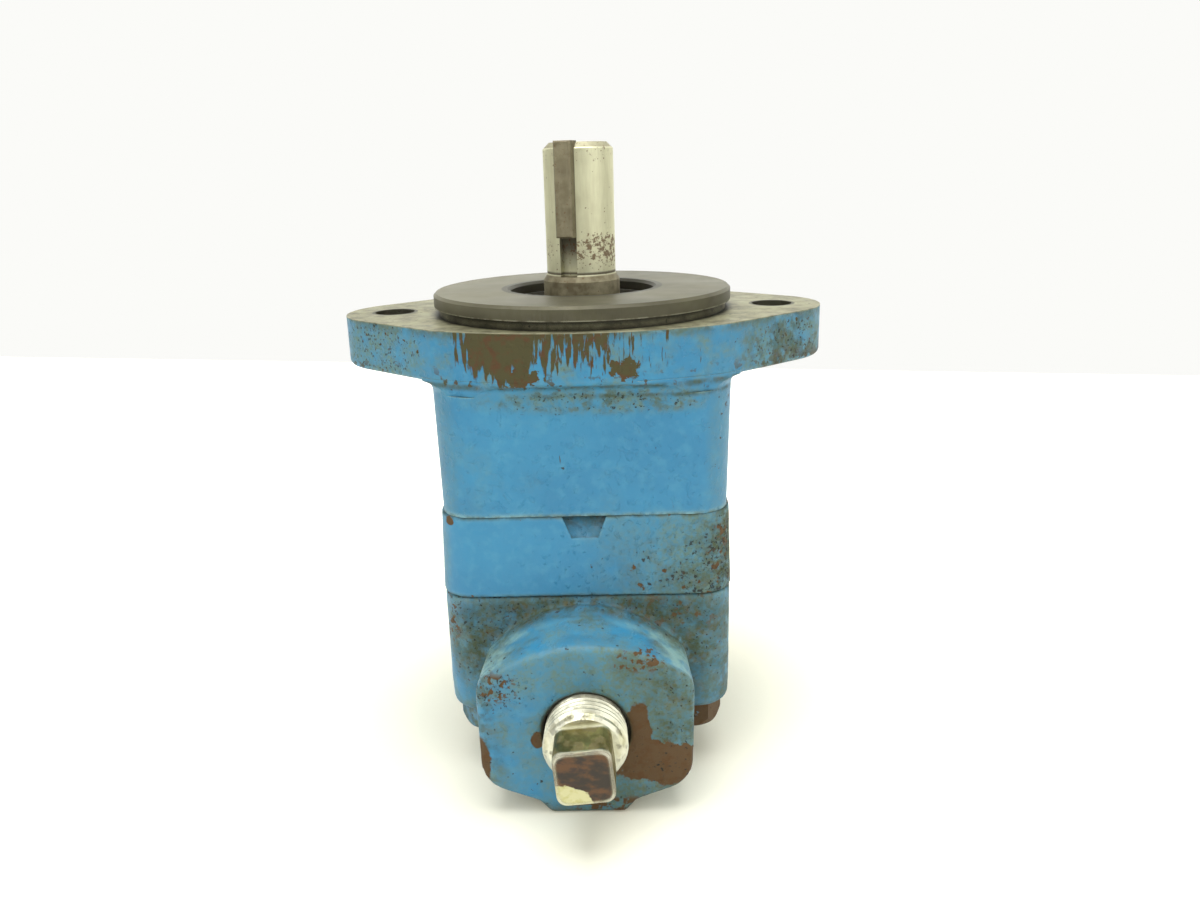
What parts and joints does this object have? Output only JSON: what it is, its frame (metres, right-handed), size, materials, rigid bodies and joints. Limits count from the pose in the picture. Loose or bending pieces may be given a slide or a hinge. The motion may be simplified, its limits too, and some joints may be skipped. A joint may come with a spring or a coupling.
{
  "type": "hydraulic vane pump",
  "caption": "Single hydraulic vane pump with a two-bolt flange, keyed drive shaft, stacked cast body, cam ring and cover, and a plugged side outlet.",
  "frame": {"origin": "centre of the two-bolt mounting flange, on the mounting face, on the shaft axis", "axes": "+Z out along the drive shaft, X through the two mounting holes, -Y to the outlet port, +Y to the inlet port"},
  "size_m": [0.1328, 0.128, 0.1687],
  "materials": {
    "cast_paint": "worn light blue enamel on cast iron",
    "bearing_steel": "ground",
    "pressed_steel": "pressed",
    "spring_steel": "oiled black",
    "nitrile": "moulded",
    "bush_bronze": "bored",
    "shaft_steel": "turned and ground, a little rust",
    "key_steel": "drawn",
    "plate_iron": "lapped",
    "bolt_steel": "painted over",
    "plated_steel": "yellow zinc, worn",
    "vane_steel": "ground"
  },
  "bodies": {
    "housing": {"body": "cast_paint", "cam_ring": "cast_paint", "cover": "cast_paint", "bearing_outer_ring": "bearing_steel", "bearing_snap_ring": "spring_steel", "seal_case": "pressed_steel", "seal_lip": "nitrile", "seal_garter_spring": "spring_steel", "shaft_bush": "bush_bronze", "body_o_ring": "nitrile", "locating_pins": "bearing_steel", "cover_o_ring": "nitrile", "cover_bolts": "bolt_steel", "port_plug": "plated_steel"},
    "drive": {"shaft": "shaft_steel", "shaft_key": "key_steel", "bearing_inner_ring": "bearing_steel", "shaft_snap_ring": "spring_steel", "rotor": "shaft_steel"},
    "ball_train": {"bearing_balls": "bearing_steel", "bearing_cage": "pressed_steel"},
    "plate": {"pressure_plate": "plate_iron", "plate_o_ring": "nitrile", "pressure_spring": "spring_steel"},
    "vane_01": {"vane_01": "vane_steel"},
    "vane_02": {"vane_02": "vane_steel"},
    "vane_03": {"vane_03": "vane_steel"},
    "vane_04": {"vane_04": "vane_steel"},
    "vane_05": {"vane_05": "vane_steel"},
    "vane_06": {"vane_06": "vane_steel"},
    "vane_07": {"vane_07": "vane_steel"},
    "vane_08": {"vane_08": "vane_steel"},
    "vane_09": {"vane_09": "vane_steel"},
    "vane_10": {"vane_10": "vane_steel"},
    "vane_11": {"vane_11": "vane_steel"},
    "vane_12": {"vane_12": "vane_steel"}
  },
  "joints": [
    {"name": "shaft_spin", "type": "hinge", "parent": "housing", "child": "drive", "pos_m": [0, 0, 0], "axis": [0, 0, 1], "continuous": true},
    {"name": "ball_train_spin", "type": "hinge", "parent": "housing", "child": "ball_train", "pos_m": [0, 0, -0.0048], "axis": [0, 0, 1], "continuous": true},
    {"name": "plate_lift", "type": "slide", "parent": "housing", "child": "plate", "axis": [0, 0, -1], "range_m": [0, 0.0008], "stiffness_N_per_m": 20000, "springref_m": -0.004, "deforming": ["pressure_spring"]},
    {"name": "vane_01_slide", "type": "slide", "parent": "drive", "child": "vane_01", "axis": [0.9659, 0.2588, 0], "range_m": [0, 0.00016]},
    {"name": "vane_02_slide", "type": "slide", "parent": "drive", "child": "vane_02", "axis": [0.7071, 0.7071, 0], "range_m": [0, 0.00144]},
    {"name": "vane_03_slide", "type": "slide", "parent": "drive", "child": "vane_03", "axis": [0.2588, 0.9659, 0], "range_m": [0, 0.00284]},
    {"name": "vane_04_slide", "type": "slide", "parent": "drive", "child": "vane_04", "axis": [-0.2588, 0.9659, 0], "range_m": [0, 0.00284]},
    {"name": "vane_05_slide", "type": "slide", "parent": "drive", "child": "vane_05", "axis": [-0.7071, 0.7071, 0], "range_m": [0, 0.00144]},
    {"name": "vane_06_slide", "type": "slide", "parent": "drive", "child": "vane_06", "axis": [-0.9659, 0.2588, 0], "range_m": [0, 0.00016]},
    {"name": "vane_07_slide", "type": "slide", "parent": "drive", "child": "vane_07", "axis": [-0.9659, -0.2588, 0], "range_m": [0, 0.00016]},
    {"name": "vane_08_slide", "type": "slide", "parent": "drive", "child": "vane_08", "axis": [-0.7071, -0.7071, 0], "range_m": [0, 0.00144]},
    {"name": "vane_09_slide", "type": "slide", "parent": "drive", "child": "vane_09", "axis": [-0.2588, -0.9659, 0], "range_m": [0, 0.00284]},
    {"name": "vane_10_slide", "type": "slide", "parent": "drive", "child": "vane_10", "axis": [0.2588, -0.9659, 0], "range_m": [0, 0.00284]},
    {"name": "vane_11_slide", "type": "slide", "parent": "drive", "child": "vane_11", "axis": [0.7071, -0.7071, 0], "range_m": [0, 0.00144]},
    {"name": "vane_12_slide", "type": "slide", "parent": "drive", "child": "vane_12", "axis": [0.9659, -0.2588, 0], "range_m": [0, 0.00016]}
  ],
  "couplings": [
    {"joint": "ball_train_spin", "follows": "shaft_spin", "ratio": 0.38165}
  ]
}
